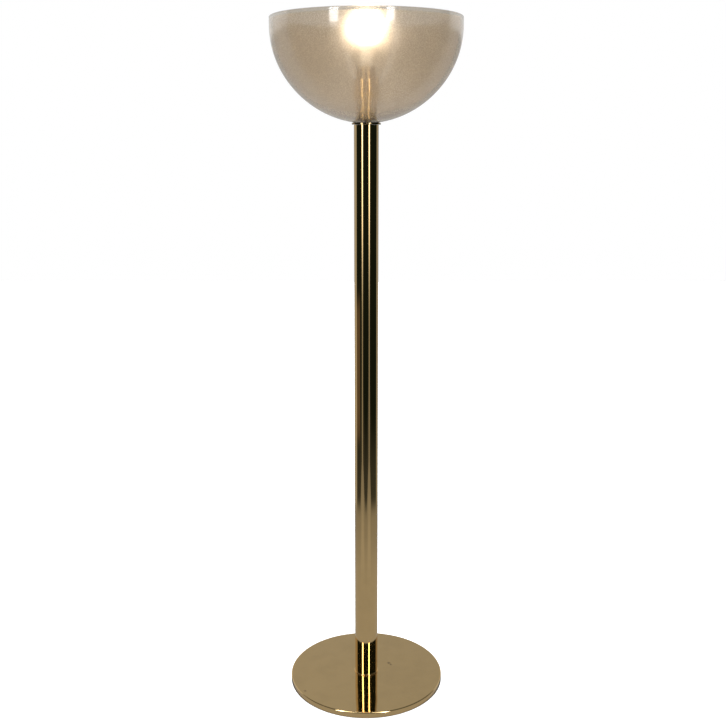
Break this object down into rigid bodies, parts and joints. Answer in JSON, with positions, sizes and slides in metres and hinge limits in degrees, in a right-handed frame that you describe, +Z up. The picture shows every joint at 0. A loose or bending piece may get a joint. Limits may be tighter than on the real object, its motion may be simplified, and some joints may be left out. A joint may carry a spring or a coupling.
{
  "type": "torchiere floor lamp",
  "caption": "Floor lamp with a round weighted brass base, a straight brass column and an open glass bowl that throws the light of a screw-in bulb upwards.",
  "frame": {"origin": "on the floor at the middle of the round base", "axes": "+Z up along the column; +Y towards the cord inlet at the rear of the base; +X to the right seen from the front"},
  "size_m": [0.4582, 0.4582, 1.72],
  "materials": {
    "felt": "pressed wool felt",
    "cast_iron": "rough casting",
    "brass": "polished, clear lacquered",
    "aged_brass": "darkened",
    "contact_brass": "as drawn",
    "steel": "zinc plated",
    "cap_metal": "drawn, satin",
    "rubber": "matt",
    "bowl_glass": "champagne, fine bubbles, cased in clear",
    "porcelain": "white glaze",
    "bulb_frost": "frosted inside",
    "clear_glass": "clear",
    "black_plastic": "moulded",
    "black_glass": "black vitrified insulator",
    "solder": "solder",
    "wire": "drawn wire",
    "tungsten": "coiled wire",
    "insulation_live": "brown sleeving",
    "insulation_neutral": "blue sleeving",
    "insulation_earth": "green and yellow sleeving"
  },
  "bodies": {
    "lamp_stand": {"base_cover": "brass", "base_felt": "felt", "base_weight": "cast_iron", "block_fixing_screw": "steel", "bottom_nut": "steel", "bottom_washer": "steel", "bowl_nut": "steel", "centre_contact": "contact_brass", "clamp_screw_earth_lamp": "steel", "clamp_screw_earth_mains": "steel", "clamp_screw_live_lamp": "steel", "clamp_screw_live_mains": "steel", "clamp_screw_neutral_lamp": "steel", "clamp_screw_neutral_mains": "steel", "clamp_washer": "steel", "column_foot_plug": "steel", "column_top_plug": "steel", "column_tube": "brass", "cord_gland": "black_plastic", "earth_screw": "steel", "earth_tag": "contact_brass", "flange_ring": "aged_brass", "foot_ring": "brass", "glass_bowl": "bowl_glass", "holder_cap": "brass", "holder_insert": "porcelain", "holder_shell": "contact_brass", "holder_skirt": "brass", "lead_earth": "insulation_earth", "lead_live": "insulation_live", "lead_neutral": "insulation_neutral", "lower_gasket": "rubber", "neck_tube": "brass", "seat_ring": "aged_brass", "side_contact": "contact_brass", "sleeve_nut": "steel", "socket_sleeve": "brass", "terminal_barrel_earth": "contact_brass", "terminal_barrel_live": "contact_brass", "terminal_barrel_neutral": "contact_brass", "terminal_block": "black_plastic", "terminal_screw_live": "steel", "terminal_screw_neutral": "steel", "tie_rod": "steel", "upper_gasket": "rubber"},
    "bulb_lift": {"bulb_tip": "solder"},
    "bulb": {"bulb_cap": "cap_metal", "bulb_filament": "tungsten", "bulb_glass": "bulb_frost", "bulb_insulator": "black_glass", "bulb_stem": "clear_glass", "bulb_wire_left": "wire", "bulb_wire_right": "wire"}
  },
  "joints": [
    {"name": "bulb_rise", "type": "slide", "parent": "lamp_stand", "child": "bulb_lift", "axis": [0, 0, 1], "range_m": [0, 0.0109]},
    {"name": "bulb_turn", "type": "hinge", "parent": "bulb_lift", "child": "bulb", "pos_m": [0, 0, 1.58], "axis": [0, 0, 1], "range_deg": [0, 1080]}
  ],
  "couplings": [
    {"joint": "bulb_rise", "follows": "bulb_turn", "m_per_rad": 0.00057757}
  ]
}
